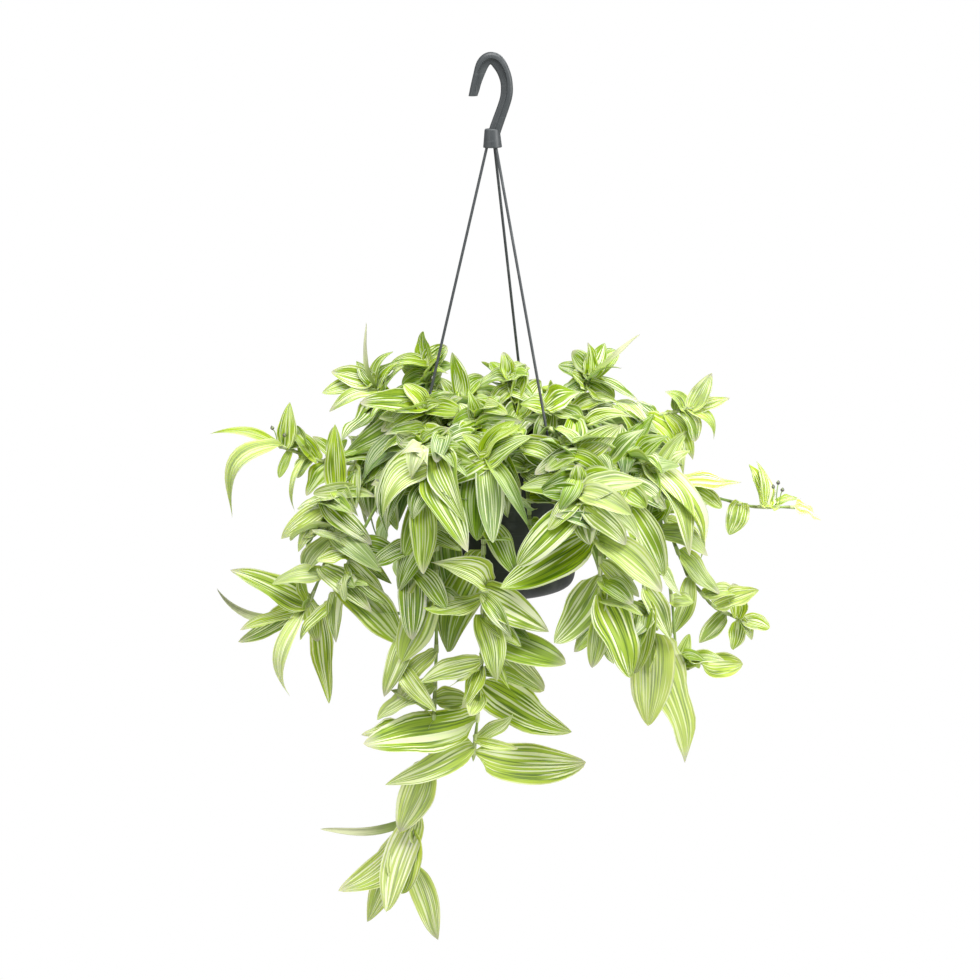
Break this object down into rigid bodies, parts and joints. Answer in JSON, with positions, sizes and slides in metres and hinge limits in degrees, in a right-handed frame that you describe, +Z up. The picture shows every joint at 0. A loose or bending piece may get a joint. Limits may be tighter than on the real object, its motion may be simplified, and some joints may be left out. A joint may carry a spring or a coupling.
{
  "type": "potted tradescantia in a hanging pot",
  "caption": "Bushy trailing houseplant with striped pointed leaves in a tapered round hanging pot, held by three straight strands and a top hook.",
  "frame": {"origin": "inside top of the hook's crook, where the hook hangs on its support", "axes": "+Z up, from the pot to the hook; +X to the right in the picture; +Y away from its viewer"},
  "size_m": [0.5336, 0.3035, 0.7655],
  "materials": {
    "pot_plastic": "satin",
    "hanger_plastic": "satin",
    "potting_soil": "matte",
    "foliage": "satin"
  },
  "bodies": {
    "root": {"hanger_hook": "hanger_plastic", "hanger_strand_back": "hanger_plastic", "hanger_strand_front": "hanger_plastic", "hanger_strand_left": "hanger_plastic", "pot": "pot_plastic", "soil": "potting_soil", "stem_back_1": "foliage", "stem_back_2": "foliage", "stem_back_3": "foliage", "stem_back_4": "foliage", "stem_back_5": "foliage", "stem_back_6": "foliage", "stem_back_7": "foliage", "stem_back_8": "foliage", "stem_back_9": "foliage", "stem_branch_right_low": "foliage", "stem_crown_1": "foliage", "stem_crown_2": "foliage", "stem_crown_3": "foliage", "stem_crown_4": "foliage", "stem_crown_5": "foliage", "stem_crown_6": "foliage", "stem_crown_far_left": "foliage", "stem_crown_left": "foliage", "stem_crown_middle": "foliage", "stem_far_left": "foliage", "stem_far_right": "foliage", "stem_hang_right": "foliage", "stem_left_front": "foliage", "stem_left_inner": "foliage", "stem_left_low": "foliage", "stem_left_mid": "foliage", "stem_right_mid": "foliage", "stem_right_upper": "foliage", "stem_rosette_front": "foliage", "stem_rosette_pale": "foliage", "stem_rosette_right": "foliage", "stem_shoot_right_low": "foliage", "stem_side_1": "foliage", "stem_side_2": "foliage", "stem_side_3": "foliage", "stem_side_4": "foliage", "stem_side_5": "foliage", "stem_side_6": "foliage", "stem_spray_right_low": "foliage", "stem_top_front_right": "foliage", "stem_top_inner": "foliage", "stem_top_left": "foliage", "stem_top_middle": "foliage", "stem_top_right": "foliage", "stem_trail_centre": "foliage", "stem_trail_left": "foliage"}
  },
  "joints": []
}
